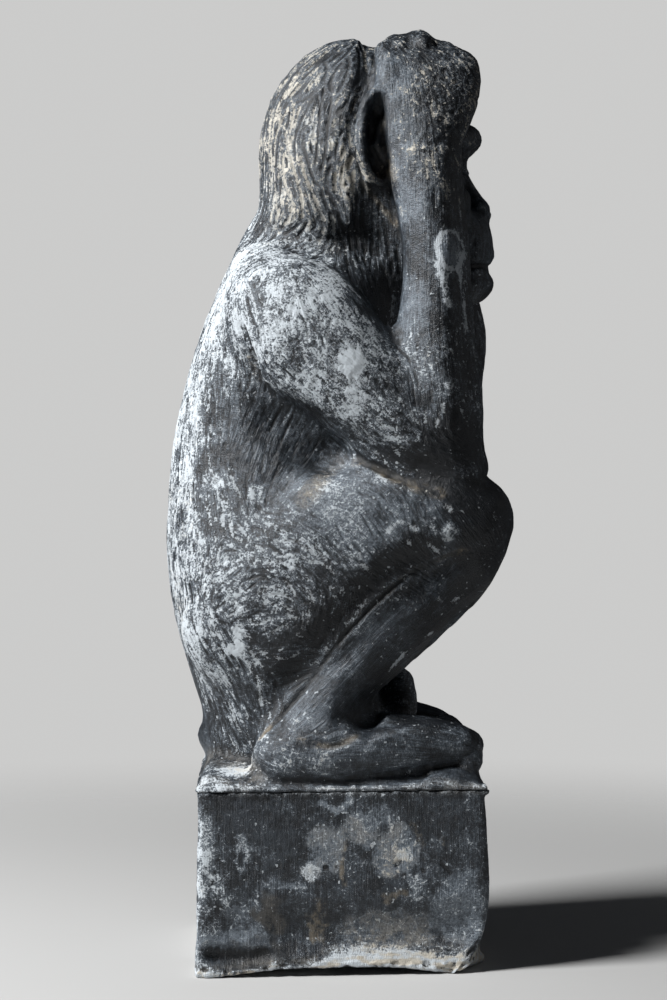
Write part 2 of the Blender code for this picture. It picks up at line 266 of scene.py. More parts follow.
# The marks that were cut one by one: the mouth and nostrils, the gaps between fingers and toes,
# their nails, the folds of the limbs, the wrist's line and the raised patches on the arm.
marks = both_sides([
    ([(90, 27, 470), (103, 17, 472.5), (110, 6, 474), (112, 0, 474)], 2.6, 2.0, 0.3),
    ([(108, 7, 507)], 3.6, 3.0, 0),
    ([(96, 13, 515), (97, 22, 500), (98, 27, 486), (92, 30, 472)], 3.2, 1.4, 0.7),
    ([(88, 14, 533), (90, 24, 529), (84, 34, 531)], 2.6, 1.2, 0.8),
    ([(87, 14, 529), (88, 26, 524), (80, 38, 527)], 2.6, 1.0, 0.8),
    ([(96, 15, 542), (94.5, 21, 542.5), (91, 28, 542)], 2.0, 1.0, 0.5),
    ([(-52, 76, 155), (-26, 81, 185), (6, 88, 225), (39, 89, 256), (66, 86, 270), (81, 86, 276)],
     3.6, 3.4, 0.3),
    ([(-27, 94, 155), (-8, 96, 151), (5, 94, 155), (18, 90, 163)], 5.5, 1.6, 0.9),
    ([(-30, 92, 162), (-12, 94, 158), (2, 92, 162)], 3.0, 0.8, 0.9),
    ([(-64, 74, 410), (-52, 73, 387), (-25, 70, 361), (7, 75, 341), (38, 90, 326), (62, 93, 318)],
     5.5, 3.6, 0.4),
    ([(-67, 77, 426), (-62, 78, 414), (-57, 75, 400), (-52, 73, 386)], 5.5, 3.0, 0.3),
    ([(-50, 78, 414), (-44, 78, 400), (-34, 78, 386)], 4.0, 1.6, 0.6),
    ([(-54, 76, 404), (-48, 76, 388)], 3.4, -1.2, 0.3),
    ([(72, 90, 475)], 15, -1.3, 0), ([(6, 99, 400)], 11, -0.8, 0), ([(72, 92, 289)], 9, -0.8, 0),
])
for side in (NEAR, FAR):
    ahead = 0.7 * (FOREARM_AHEAD if side == FAR else 0)
    wrist = [(43 + ahead, side * 80, 541), (59 + ahead, side * 84, 543.5), (79 + ahead, side * 76, 543)]
    marks.append((wrist, 1.8, -0.35, 0.4))
    for x, z in ((50, 621), (66.5, 621), (83, 611)):
        gap = [(x - 2, side * 50, z - 8), (x, side * 40, z), (x, side * 22, z + 1), (x, side * 4, z - 2)]
        marks.append((gap, 3.4, 3.4, 0.2))
    for x, z in ((42, 627), (58, 631), (75, 623), (92, 608)):
        marks.append(([(x - 4, side * 38, z - 1), (x + 4, side * 38, z - 1)], 2.0, 0.7, 0.4))
    for k in range(4):
        out = 42.2 + TOE_PITCH * k
        gap = [(70, side * out, 158), (84, side * out, 156), (98, side * (out - 1), 148)]
        marks.append((gap, 2.8, 2.6, 0.2))
marks += [([(113, 0, 503), (112, 0, 494), (112, 0, 487)], 3.0, 1.2, 0.4),
          ([(103, 0, 528), (99, 0, 545), (104, 0, 562)], 3.0, 1.6, 0.5)]
pressed(figure, marks)

# How the hair was cut, place by place on the near side: where (x, y, z in millimetres), which way
# the tool was drawn (degrees, 0 forwards and -90 down), how long and how deep its strokes are, how
# far apart, how much they wander, how white the lead has gone, and how smooth and bare it is. The
# barest places also get a painted satin sheen, and some rows are whiter as a painted highlight.
HAIR = (
    (-2, -33, 613, -118, 45, 1.2, 5.2, 8, 0.28, 0.2),
    (-29, -25, 597, -138, 70, 1.5, 5.2, 5, 0.38, 0.1),
    (-46, -17, 557, -95, 80, 1.6, 5.0, 4, 0.42, 0.0),
    (-24, -45, 567, -104, 75, 1.6, 5.2, 5, 0.46, 0.0),
    (-22, -52, 540, -74, 60, 1.6, 5.2, 6, 0.48, 0.0),
    (-24, -51, 522, -66, 50, 1.6, 5.4, 8, 0.46, 0.0),
    (6, -54, 579, -108, 16, 0.9, 5.0, 40, 0.26, 0.3),
    (2, -57, 531, -100, 26, 1.3, 6.0, 14, 0.42, 0.0),
    (-48, -23, 505, -100, 34, 1.6, 5.6, 10, 0.44, 0.0),
    (-4, -56, 511, -74, 30, 1.3, 6.0, 10, 0.26, 0.0),
    (20, -46, 486, -82, 34, 1.2, 6.0, 8, 0.14, 0.0),
    (26, -59, 444, -92, 34, 1.0, 6.0, 10, 0.05, 0.0),
    (-24, -50, 482, -150, 18, 0.9, 5.0, 40, 0.50, 0.0),
    (-42, -61, 474, -158, 34, 0.8, 4.6, 8, 0.80, 0.0),
    (-74, -45, 452, -110, 40, 0.9, 5.0, 8, 0.84, 0.0),
    (-87, -23, 426, -102, 45, 0.9, 5.5, 8, 0.76, 0.0),
    (-37, -90, 448, -92, 18, 0.6, 4.2, 24, 0.78, 0.0),
    (-11, -90, 448, -56, 22, 0.7, 4.4, 14, 0.72, 0.0),
    (-62, -79, 436, -74, 34, 1.0, 5.0, 10, 0.66, 0.0),
    (-28, -97, 415, -60, 14, 0.9, 4.4, 45, 0.66, 0.0),
    (6, -99, 400, -40, 12, 0.6, 4.4, 40, 0.84, 0.2),
    (-20, -92, 385, -48, 26, 0.9, 4.6, 14, 0.60, 0.0),
    (2, -99, 385, -42, 14, 0.8, 4.4, 35, 0.74, 0.0),
    (31, -97, 356, -38, 16, 0.8, 4.6, 30, 0.46, 0.0),
    (65, -93, 330, -20, 12, 0.7, 5.0, 50, 0.02, 0.0),
    (-35, -69, 364, -118, 36, 0.8, 3.6, 6, 0.10, 0.6),
    (-52, -68, 344, -108, 34, 0.8, 3.6, 8, 0.12, 0.7),
    (-26, -70, 330, -126, 26, 0.6, 4.2, 14, 0.10, 0.7),
    (-6, -77, 330, -30, 10, 0.4, 5.0, 40, 0.58, 0.9),
    # The rows along the back, at x -101 to -108, are whiter than their chalk alone: a painted highlight on
    # the edge that faces the window.
    (-101, -20, 379, -84, 40, 1.0, 6.0, 10, 0.80, 0.0),
    (-106, -32, 324, -76, 36, 1.1, 6.5, 12, 0.68, 0.0),
    (-78, -66, 310, -72, 34, 0.8, 7.0, 14, 0.42, 0.1),
    (-108, -35, 270, -64, 34, 1.2, 6.5, 14, 0.60, 0.1),
    (-50, -87, 276, -12, 18, 0.8, 5.0, 34, 0.60, 0.1),
    (-66, -84, 255, 40, 18, 0.8, 5.0, 34, 0.62, 0.1),
    (-46, -87, 232, 0, 14, 0.8, 5.0, 50, 0.46, 0.1),
    (-20, -91, 258, -48, 18, 0.8, 5.0, 26, 0.40, 0.1),
    (-14, -91, 236, -100, 18, 0.8, 5.0, 26, 0.22, 0.1),
    (-34, -86, 208, -176, 18, 0.8, 5.0, 24, 0.16, 0.1),
    (-1, -90, 310, -24, 12, 0.5, 4.6, 30, 0.64, 0.9),
    (25, -94, 292, -48, 16, 0.6, 4.6, 20, 0.38, 0.9),
    (50, -94, 296, -70, 18, 0.6, 4.6, 14, 0.26, 0.8),
    (80, -90, 300, -50, 10, 0.3, 7.0, 30, 0.02, 0.5),
    (39, -90, 266, -32, 16, 0.5, 6.0, 20, 0.10, 0.4),
    # This row on the back is also whiter as a painted highlight.
    (-101, -55, 217, -58, 36, 1.2, 6.0, 6, 0.56, 0.1),
    (-82, -69, 205, -62, 34, 1.2, 6.0, 8, 0.58, 0.1),
    (-81, -36, 162, -74, 24, 1.0, 6.0, 10, 0.42, 0.1),
    (-58, -74, 180, -80, 24, 0.9, 6.0, 14, 0.24, 0.2),
    (86, -81, 251, -130, 20, 0.2, 9.0, 10, 0.02, 0.5),
    (33, -86, 218, -134, 24, 0.2, 9.0, 8, 0.05, 0.7),
    (-14, -88, 179, -134, 20, 0.3, 8.0, 8, 0.10, 0.8),
    (-40, -95, 135, -20, 12, 0.4, 7.0, 30, 0.24, 0.6),
    (5, -94, 137, 4, 18, 0.4, 7.0, 12, 0.12, 0.7),
    (79, -84, 145, -8, 12, 0.4, 7.0, 20, 0.10, 0.6),
    (60, -60, 160, -10, 20, 0.4, 7.0, 12, 0.16, 0.5),
    (59, -83, 541, -88, 12, 0.7, 5.0, 40, 0.26, 0.1),
    (66, -74, 583, -80, 10, 0.9, 4.2, 70, 0.26, -0.2),
    (56, -54, 617, -60, 10, 0.8, 4.6, 60, 0.26, 0.1),
    # These rows make the forearm's outer strip bare and pale: a painted satin highlight.
    (35, -67, 590, -86, 14, 0.4, 6.0, 20, 0.24, 0.9),
    (59, -89, 475, -90, 14, 0.4, 5.0, 20, 0.24, 0.4),
    (43, -80, 443, -88, 20, 0.2, 8.0, 10, 0.24, 0.9),
    (42, -76, 545, -88, 14, 0.3, 6.0, 20, 0.26, 0.9),
    (44, -80, 500, -88, 14, 0.3, 6.0, 20, 0.26, 0.9),
    (82, -88, 442, -86, 14, 0.8, 4.6, 30, 0.20, 0.1),
    (80, -84, 500, -88, 14, 0.8, 4.6, 30, 0.20, 0.1),
    (58, -98, 376, -84, 16, 0.5, 5.0, 24, 0.36, 0.4),
    (-87, -11, 153, -60, 10, 0.2, 9.0, 20, 0.12, 0.7),
    (-72, -71, 130, 0, 12, 0.5, 6.0, 40, 0.46, 0.2),
    (60, 0, 130, 10, 14, 0.5, 6.0, 40, 0.25, 0.2),
    (20, 0, 420, -90, 26, 0.9, 5.0, 8, 0.06, 0.0),
    (24, 0, 330, -90, 26, 0.9, 5.0, 8, 0.08, 0.0),
    (30, 0, 240, -90, 24, 0.9, 5.0, 8, 0.08, 0.0),
    (90, 0, 500, -90, 6, 0.15, 9.0, 10, 0.12, 0.8),
    (95, -22, 560, -20, 10, 0.7, 3.6, 20, 0.14, 0.3),
    (80, -32, 515, -80, 8, 0.2, 8.0, 10, 0.12, 0.7),
    (40, 0, 590, -150, 24, 0.9, 5.0, 10, 0.20, 0.0),
)


def hair_at(places, facing):
    """What the table says at each point, and the way of the hair as a direction in the skin."""
    rows = np.array(HAIR)
    spots = rows[:, :3] * MM
    total, sums = np.zeros(len(places)), np.zeros((len(places), 8))
    way = np.radians(rows[:, 3])
    said = np.column_stack([np.cos(2 * way), np.sin(2 * way), rows[:, 4:]])
    for spot, row in zip(spots, said):
        away = places - spot
        away[:, 1] = np.abs(places[:, 1]) - abs(spot[1])
        weight = 1 / ((away ** 2).sum(1) + (6 * MM) ** 2) ** 2
        total += weight
        sums += weight[:, None] * row
    sums /= total[:, None]
    angle = 0.5 * np.arctan2(sums[:, 1], sums[:, 0])
    flow = np.column_stack([np.cos(angle), np.zeros(len(places)), np.sin(angle)])
    flow -= facing * (flow * facing).sum(1)[:, None]
    lost = np.linalg.norm(flow, axis=1) < 0.15
    flow[lost] = np.cross(facing[lost], (0.0, 0.0, 1.0)) + (0.0, 0.001, 0.0)
    flow /= np.linalg.norm(flow, axis=1)[:, None]
    return flow, sums[:, 2:]


def cut_hair(piece, seed):
    """Draws the tool along the hair, stroke beside stroke, and gives back how deep each point went
    and how much old white is left in its stroke."""
    places, facing = arrays(piece)
    flow, said = hair_at(places, facing)
    tree = tree_of(places)
    spots = [Vector(place) for place in places.tolist()]
    out = [Vector(way) for way in facing.tolist()]
    ways = [Vector(way) for way in flow.tolist()]
    said = said.tolist()
    sunk, filled, taken = [0.0] * len(spots), [0.0] * len(spots), [0] * len(spots)
    draw = random.Random(seed)
    order = list(range(len(spots)))
    draw.shuffle(order)
    number = 0
    for start in order:
        if taken[start] or out[start].z < -0.9:
            continue
        number += 1
        length, deep, gap, wander, white, bare = said[start]
        length *= draw.uniform(0.6, 1.3) * MM
        half = gap * 0.5 * draw.uniform(0.85, 1.1) * MM
        lean = math.radians(draw.gauss(0, wander * 0.6))
        curl = math.radians(draw.gauss(0, wander * 1.6)) / (20 * MM)
        step = half * 0.7
        runs = []
        for sign in (1, -1):
            at, heading, gone, run = start, ways[start] * sign, 0.0, []
            place = spots[start]
            while gone < length / 2:
                way = ways[at] if ways[at].dot(heading) >= 0 else -ways[at]
                turn = lean * sign + curl * gone
                heading = way * math.cos(turn) + out[at].cross(way) * math.sin(turn) * sign
                place = place + heading * step
                found, at, away = tree.find(place)
                if taken[at] not in (0, number) or out[at].dot(out[start]) < 0.1:
                    break
                place = place - out[at] * (place - found).dot(out[at])
                gone += step
                run.append(place)
            runs.append(run)
        line = runs[1][::-1] + [spots[start]] + runs[0]
        if len(line) * step < 3 * MM:
            taken[start] = number
            continue
        deep *= draw.uniform(0.6, 1.15)
        chalky = 1.0 if draw.random() < white else 0.0
        reach = half * 1.02
        for k, place in enumerate(line):
            end = min(1.0, (k + 1) * step / (4 * MM), (len(line) - k) * step / (4 * MM))
            for _, index, away in tree.find_range(place, reach):
                if out[index].dot(out[start]) < -0.2:
                    continue
                share = end * (1 - (away / reach) ** 2) ** 2
                if deep * share > sunk[index]:
                    sunk[index] = deep * share
                    filled[index] = chalky * share
                taken[index] = taken[index] or number
    return np.array(sunk), np.array(filled)


def eased(values, edges, times):
    """Evens out values over the skin by its edges."""
    count = len(values)
    near = np.bincount(edges.ravel(), minlength=count)[:, None]
    for turn in range(times):
        total = np.column_stack([
            np.bincount(edges[:, 0], values[edges[:, 1], k], count)
            + np.bincount(edges[:, 1], values[edges[:, 0], k], count) for k in range(values.shape[1])])
        values = 0.5 * values + 0.5 * total / near
    return values


def edges_of(piece):
    """The edges of a piece as pairs of points."""
    pairs = np.empty(len(piece.data.edges) * 2, dtype=np.int64)
    piece.data.edges.foreach_get("vertices", pairs)
    return pairs.reshape(-1, 2)


def uneven(places, size, seed):
    """The slow ups and downs of a hand-made surface, from -1 to 1."""
    shift = Vector((seed, seed * 2.3, seed * 4.1))
    return np.array([noise.noise(Vector(place) / size + shift) for place in places.tolist()])


def hollows_of(piece, fine, broad):
    """How far each point lies in a small groove and in a wide fold, in millimetres."""
    places, facing = arrays(piece)
    edges = edges_of(piece)
    near = eased(places, edges, fine)
    far = eased(near, edges, broad)
    return ((near - places) * facing).sum(1) / MM, ((far - near) * facing).sum(1) / MM


def keep(piece, **kinds):
    """Stores what the finish reads at each point."""
    for name, values in kinds.items():
        if values.ndim == 2:
            stored = piece.data.attributes.new(name, "FLOAT_VECTOR", "POINT")
            stored.data.foreach_set("vector", values.ravel())
        else:
            stored = piece.data.attributes.new(name, "FLOAT", "POINT")
            stored.data.foreach_set("value", values)


def thinned(piece, triangles, plain=None):
    """Takes faces out where the skin is even, down to a number of triangles, and most of them where
    the piece is plain or out of sight."""
    settings = {"ratio": triangles / sum(len(face.vertices) - 2 for face in piece.data.polygons)}
    if plain is not None:
        group = piece.vertex_groups.new(name="plain")
        for level in range(1, 11):
            group.add(np.flatnonzero(np.round(plain * 10) == level).tolist(), level / 10, "REPLACE")
        settings.update(vertex_group="plain", vertex_group_factor=THINNED_WHERE_PLAIN)
    worked(piece, "DECIMATE", use_collapse_triangulate=True, **settings)
    piece.vertex_groups.clear()


def kept_inside(piece, low, high, seam):
    """Holds every point inside the founder's box, and makes the edge at the soldered seam sharp."""
    places, _ = arrays(piece)
    places = np.clip(places, low, high)
    above = places[:, 2] - seam
    places[:, 2] = seam + above * (0.35 + 0.65 * np.clip(np.abs(above) / (3 * MM), 0, 1))
    put_back(piece, places)


# The hair is cut, the skin between swells and sinks a little, and the mesh is thinned, least on
# the head and the near side.
sunk, filled = cut_hair(figure, SEED_OF_HAIR)
places, facing = arrays(figure)
swell = 0.55 * uneven(places, 17 * MM, 3) + 0.3 * uneven(places, 7 * MM, 5)
seat = np.clip((places[:, 2] - TOP_OF_PLINTH) / (3 * MM), 0, 1)
put_back(figure, places - facing * ((sunk - 0.3 * swell) * seat)[:, None] * MM)
groove, fold = hollows_of(figure, 6, 60)
places, facing = arrays(figure)
tree = tree_of(places)
head = np.clip((places[:, 2] / MM - 470) / 25, 0, 1) * np.clip((40 - places[:, 0] / MM) / 10, 0, 1)
seen = np.clip(-facing[:, 1] + 0.3, 0, 1)
thinned(figure, FIGURE_TRIANGLES, 1 - np.clip(head + 0.45 * seen, 0, 1))
low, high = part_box("monkey")
kept_inside(figure, low, high, low[2])
alone(figure)
bpy.ops.object.shade_smooth()
places, facing = arrays(figure)
nearest = np.array([tree.find(place)[1] for place in places.tolist()])


# Where dust has settled in the folds and on the ground plate, where chalk has run and gathered and
# a highlight is painted white down the calf, where shade is painted dark on the lead, and the spots
# that stand out: white ones, bare ones and dark ones, the dark ones being painted shade. The lines
# give places, their reach and their strength; the spots a place, a reach, white and bare.
DUSTY = (
    ([(-60, 73, 402), (-50, 73, 384), (-25, 70, 358), (7, 74, 338), (39, 90, 323), (65, 93, 315)], 5, 0.6),
    ([(-2, 68, 338), (-13, 81, 324), (-23, 86, 312)], 9, 0.5),
    ([(-52, 76, 155), (-26, 81, 185), (6, 88, 225), (39, 89, 256), (66, 86, 270), (81, 86, 276)], 3.5, 0.9),
    ([(-27, 94, 154), (-8, 96, 150), (5, 94, 154), (18, 90, 162)], 3, 0.6),
    ([(17, 56, 523), (30, 50, 509), (41, 48, 497)], 3, 0.6), ([(34, 60, 560), (38, 64, 520)], 12, 0.5),
    ([(-90, 90, 126), (-60, 90, 130), (-70, 60, 134), (-86, 20, 130)], 14, 0.25),
    ([(-40, 98, 124), (95, 96, 124)], 5, 0.3),
)
CHALK_AND_HIGHLIGHT = (
    ([(43, 80, 541), (52, 82, 544), (59, 84, 542), (70, 80, 544.5), (79, 76, 542)], 1.5, 0.45),
    ([(48, 80, 425), (50, 86, 400), (54, 90, 380), (62, 92, 366)], 5, 0.5),
    ([(63, 90, 477), (67, 89, 486), (77, 82, 487), (83, 75, 476), (77, 85, 463), (67, 91, 465),
      (63, 90, 477)], 2.6, 0.9),
    ([(63, 90.5, 466), (67, 92, 452), (71, 92, 440)], 4, 0.8),
    ([(79, 82, 462), (82, 80, 440), (84, 79, 425)], 3.4, 0.8),
    ([(-14, 92, 368), (8, 96, 352), (24, 97, 347), (38, 97, 350), (50, 97, 352)], 4, 0.5),
    ([(-66, 76, 428), (-52, 80, 406)], 7, 0.35),
    ([(-40, 80, 404), (-26, 84, 390), (-8, 90, 372)], 6, 0.4), ([(-67, 78, 240), (-67, 78, 200)], 3, 0.5),
    ([(30, 94, 290), (38, 95, 296), (50, 94, 291)], 2.4, 0.5),
    ([(44, 95, 300), (56, 95, 296), (66, 94, 289)], 2.4, 0.4),
    ([(17, 56, 523), (30, 50, 509), (41, 48, 497)], 2, 0.5), ([(18, 60, 528), (6, 60, 520)], 8, 0.3),
    ([(-92, 94, 124), (95, 94, 124)], 4, 0.4),
    # This line down the calf's upper edge is painted whiter as a highlight.
    ([(-34, 90, 170), (-4, 90, 202), (30, 92, 238), (52, 92, 262)], 8, 0.22),
)
# Painted shade: where the lead is painted darker, along the calf's underside, the top of the foot, the knee,
# the thigh's front, the forearm and elbow, under the arm and beside the neck.
PAINTED_SHADE = (
    ([(34, 78, 184), (58, 80, 206), (96, 80, 248)], 24, 0.9),
    ([(10, 92, 168), (40, 84, 170), (84, 70, 158)], 15, 0.8), ([(88, 84, 306), (98, 84, 278)], 26, 0.8),
    ([(-14, 90, 224), (18, 92, 254), (55, 92, 284)], 18, 0.9),
    ([(88, 88, 372), (90, 88, 440), (92, 86, 520)], 13, 0.7), ([(56, 96, 345), (86, 90, 350)], 20, 1.0),
    ([(74, 92, 352), (76, 92, 424)], 14, 0.6), ([(-40, 73, 352), (-12, 73, 334)], 12, 0.6),
    ([(30, 94, 336), (62, 95, 326)], 12, 0.6), ([(34, 60, 436), (36, 60, 500)], 15, 0.9),
)
SPOTS = (
    (74, 86, 475, 13, 0.25, 0.9), (6, 99, 400, 11, 0.5, 0.5), (72, 92, 289, 8, 0.5, 0.3),
    (60, 95, 288, 5, 0.3, 0.4), (-55, 73, 314, 8, 0.5, 0.2), (-68, 76, 212, 7, 0.5, 0.0),
    (-67, 82, 238, 5, 0.5, 0.0), (-66, 80, 225, 6, 0.5, 0.0), (-34, 91, 271, 7, 0.3, 0.2),
    (-39, 72, 326, 6, 0.35, 0.0), (-62, 77, 318, 6, 0.4, 0.0), (-16, 94, 139, 10, 0.3, 0.1),
    (-30, 70, 134, 14, 0.3, 0.0), (-70, 74, 132, 14, 0.6, 0.0), (-86, 92, 126, 12, 0.4, 0.0),
    # The spots with less white, on the ear, under the arm and along the thigh's top, are painted shade.
    (44, 82, 395, 12, 0.1, 0.8), (24, 66, 568, 16, -0.7, 0.0), (24, 64, 545, 16, -0.7, 0.0),
    (30, 60, 530, 10, -0.4, 0.0), (30, 94, 338, 12, -0.5, 0.0), (60, 94, 330, 14, -0.3, 0.0),
    (0, 84, 352, 10, -0.4, 0.0),
)


def away_from(x, y, z, places):
    """How far each point is from a place, in millimetres, alike on both sides."""
    return np.hypot(np.hypot(places[:, 0] / MM - x, np.abs(places[:, 1]) / MM - y), places[:, 2] / MM - z)


def settled(places, lines):
    """How thick the dust lies at each point, from lines of places, their reach and their strength."""
    dust = np.zeros(len(places))
    for points, reach, strength in lines:
        for spot in through(points, reach / 3):
            away = away_from(*spot, places)
            dust = np.maximum(dust, strength * np.clip(1 - (away / reach) ** 2, 0, 1))
    return dust


def spotted(places, spots):
    """How much whiter and barer each point is for the spots near it."""
    more = np.zeros((len(places), 2))
    for x, y, z, reach, white, bare in spots:
        away = away_from(x, y, z, places)
        more += np.clip(1.6 - 1.6 * (away / reach) ** 2, 0, 1)[:, None] * (white, bare)
    return more


flow, said = hair_at(places, facing)
more = spotted(places, SPOTS)
painted_shade = settled(places, PAINTED_SHADE)
above_seam = np.clip((places[:, 2] - low[2]) / (4 * MM), 0, 1)
# The painted shade takes white and bareness away, so the lead is painted dark there.
keep(figure, fur=flow, white=said[:, 4] + more[:, 0] + settled(places, CHALK_AND_HIGHLIGHT) - painted_shade * 0.3,
     bare=said[:, 5] + more[:, 1] - painted_shade,
     stray=np.clip(said[:, 3] / 45, 0, 1) * (1 - np.clip(more[:, 1], 0, 1)),
     stain=settled(places, DUSTY), groove=groove[nearest] * above_seam, fold=fold[nearest],
     filled=filled[nearest])


class Wire:
    """A value on its way through a finish's nodes."""

    def __init__(self, tree, socket):
        self.tree, self.socket = tree, socket

    def node(self, kind, settings=(), sockets=(), output=0):
        """Adds a node: its settings first, then the values or wires of its sockets."""
        made = self.tree.nodes.new("ShaderNode" + kind)
        for name, value in dict(settings).items():
            setattr(made, name, value)
        for name, value in dict(sockets).items():
            if isinstance(value, Wire):
                self.tree.links.new(value.socket, made.inputs[name])
            else:
                made.inputs[name].default_value = value
        return Wire(self.tree, made.outputs[output])

    def math(self, operation, *values):
        return self.node("Math", {"operation": operation}, enumerate(values))

    def __add__(self, other):
        return self.math("ADD", self, other)

    def __radd__(self, other):
        return self.math("ADD", other, self)

    def __sub__(self, other):
        return self.math("SUBTRACT", self, other)

    def __rsub__(self, other):
        return self.math("SUBTRACT", other, self)

    def __mul__(self, other):
        return self.math("MULTIPLY", self, other)

    def __rmul__(self, other):
        return self.math("MULTIPLY", other, self)

    def __truediv__(self, other):
        return self.math("DIVIDE", self, other)

    def least(self, other):
        return self.math("MINIMUM", self, other)

    def most(self, other):
        return self.math("MAXIMUM", self, other)

    def size(self):
        return self.math("ABSOLUTE", self)

    def rise(self, start, end):
        """0 below start, 1 above end and smooth between."""
        return self.node("MapRange", {"interpolation_type": "SMOOTHSTEP"}, {0: self, 1: start, 2: end})

    def along(self, way, distance):
        """This place, moved a distance along a way."""
        return self.node("VectorMath", {"operation": "MULTIPLY_ADD"}, {0: way, 1: (distance,) * 3, 2: self})

    def speckle(self, size, detail=0.0, roughness=0.5):
        """Noise with grains of a size in millimetres."""
        return self.node("TexNoise", {"noise_dimensions": "3D"}, {
            "Vector": self, "Scale": 1 / (size * MM), "Detail": detail, "Roughness": roughness})

    def blend(self, share, colour):
        """This colour, with a share of another colour over it."""
        return self.node("Mix", {"data_type": "RGBA"}, {0: share, 6: self, 7: colour}, 2)


def brushed(place, way, size, long, taps):
    """Streaks that follow the hair: speckle drawn out along its way."""
    total = None
    for k in range(taps):
        speck = place.along(way, long * MM * (k / (taps - 1) - 0.5)).speckle(size)
        total = speck if total is None else total + speck
    return (total / taps - 0.5) * (taps ** 0.5 * 1.05) + 0.5


LEAD_DARK = (0.008, 0.010, 0.013, 1)
LEAD_GREY = (0.031, 0.039, 0.049, 1)
# Bare lead; this colour and the haze also paint a satin sheen where the lead is bare.
BARE_LEAD_AND_SHEEN = (0.052, 0.064, 0.079, 1)
HAZE_AND_SHEEN, CHALK, CREAM = (0.21, 0.247, 0.287, 1), (0.57, 0.62, 0.66, 1), (0.56, 0.53, 0.465, 1)
OCHRE, GRIME_AND_SHADE = (0.25, 0.20, 0.13, 1), (0.004, 0.005, 0.006, 1)


def lead_finish(name, clumped):
    """Old garden lead: blue-grey where it is rubbed, with a painted satin sheen where it is bare, chalky
    white in streaks on what the rain reaches, nearly black in the cuts from patina and painted shade,
    darker still where shade is painted, and ochre in the folds."""
    finish = bpy.data.materials.new(name)
    finish.use_nodes = True
    tree = finish.node_tree
    shader = tree.nodes["Principled BSDF"]
    start = Wire(tree, None)
    place = start.node("TexCoord", output=3)

    def read(kind, output=2):
        return start.node("Attribute", {"attribute_name": kind}, output=output)

    fur, white, bare, stain = read("fur", 1), read("white"), read("bare"), read("stain")
    groove, fold, filled, stray = read("groove"), read("fold"), read("filled"), read("stray")
    height = place.node("SeparateXYZ", {}, {0: place}, 2)
    fine = brushed(place, fur, 0.8, 7, 7)
    wide = brushed(place, fur, 2.0, 14, 7)
    grain = place.speckle(4.0, 10, 0.74)
    crumbs = place.speckle(1.3, 6, 0.72)
    cloud = place.speckle(18, 5, 0.60)
    drift = place.speckle(75, 3, 0.5)
    worm = 1 - (place.speckle(5.5, 2.0, 0.5) - 0.5).size() * 16

    # Bareness below nothing, where shade is painted, turns the lead to its darkest grey.
    mixed = (cloud + (grain - 0.5) * 1.0 + (fine - 0.5) * 0.5 + (bare - 0.3) * 0.35).rise(0.34, 0.74)
    lead = start.node("Mix", {"data_type": "RGBA"}, {0: mixed, 6: LEAD_DARK, 7: LEAD_GREY}, 2)
    # Bare places are paler: worn lead, and partly a painted satin sheen.
    rubbed_and_sheen = bare * 0.6 + (drift - 0.5) * 0.6 + (grain - 0.5) * 1.2 + (cloud - 0.5) * 0.8
    rubbed_and_sheen = rubbed_and_sheen.rise(0.10, 0.95)
    lead = lead.blend(rubbed_and_sheen * 0.8, BARE_LEAD_AND_SHEEN)

    ridge = (0 - groove).rise(0.02, 0.30)
    amount = white + (cloud - 0.5) * clumped + (drift - 0.5) * 0.6 + ridge * 0.24
    amount = amount - groove.rise(0.03, 0.3) * 0.5
    amount = amount - fold.rise(0.6, 3.0) * 0.3
    hairy = (fine - 0.5) * 0.60 + (wide - 0.5) * 0.36
    mottled = (grain - 0.5) * 1.9 + (crumbs - 0.5) * 2.2
    curled = stray * (worm.rise(0.45, 1) - 0.25) * 0.45
    pattern = hairy * (1 - stray * 0.6) + mottled * (0.75 + stray * 0.25) + curled + 0.5
    lift = pattern + amount - 1.16
    # Where the lead is very bare the veil grows lighter: a painted satin sheen.
    veil_and_sheen = (lift + (fine - 0.5) * 0.6 * (1 - stray * 0.6) + (bare - 0.5).most(0) * 0.5).rise(-0.55, 0.35)
    lead = lead.blend(veil_and_sheen * 0.80, HAZE_AND_SHEEN)
    flecks = filled * (1.15 - bare.size() * 1.5).most(0) + (cloud - 0.5)
    flecks = (flecks + (grain - 0.5) * 3.2 + (crumbs - 0.5) * 2.4).rise(0.55, 0.75)
    dots = place.speckle(3.2, 1.5, 0.5) + (drift - 0.5) * 0.3 + white * 0.05
    chalk = lift.rise(0.00, 0.16).most(flecks * 0.9).most(dots.rise(0.72, 0.75) * 0.85)
    warm = height.rise(0.46, 0.54) * 0.7 + stain
    cream = (warm + (drift + grain - 1.0) * 1.6).rise(0.25, 0.75)
    whiteness = start.node("Mix", {"data_type": "RGBA"}, {0: cream, 6: CHALK, 7: CREAM}, 2)
    lead = lead.blend((chalk * (0.50 + crumbs * 0.7) + lift.rise(0.1, 0.5) * 0.4).least(0.98), whiteness)
    dirt = (fold.rise(1.5, 5.0) * 0.6 + stain * 1.1) * (grain + cloud - 0.5).rise(0.36, 0.62)
    lead = lead.blend(dirt.least(0.75) * (1 - chalk * 0.7), OCHRE)
    # The cuts are painted nearly black: partly their dark patina, partly painted shade.
    lead = lead.blend(groove.rise(0.06, 0.35) * (1 - chalk * 0.6) * 0.75, GRIME_AND_SHADE)
    tree.links.new(lead.socket, shader.inputs["Base Color"])

    rough = 0.42 - rubbed_and_sheen * 0.10 + chalk * 0.40 + veil_and_sheen * 0.15 + (crumbs - 0.5) * 0.3
    tree.links.new(rough.socket, shader.inputs["Roughness"])
    relief = fine * 0.35 + wide * 0.25 + grain * 0.9 + crumbs * 0.30 + chalk * 0.30
    bump = start.node("Bump", {}, {"Strength": 0.9, "Distance": 1.1 * MM, "Height": relief})
    tree.links.new(bump.socket, shader.inputs["Normal"])
    return finish


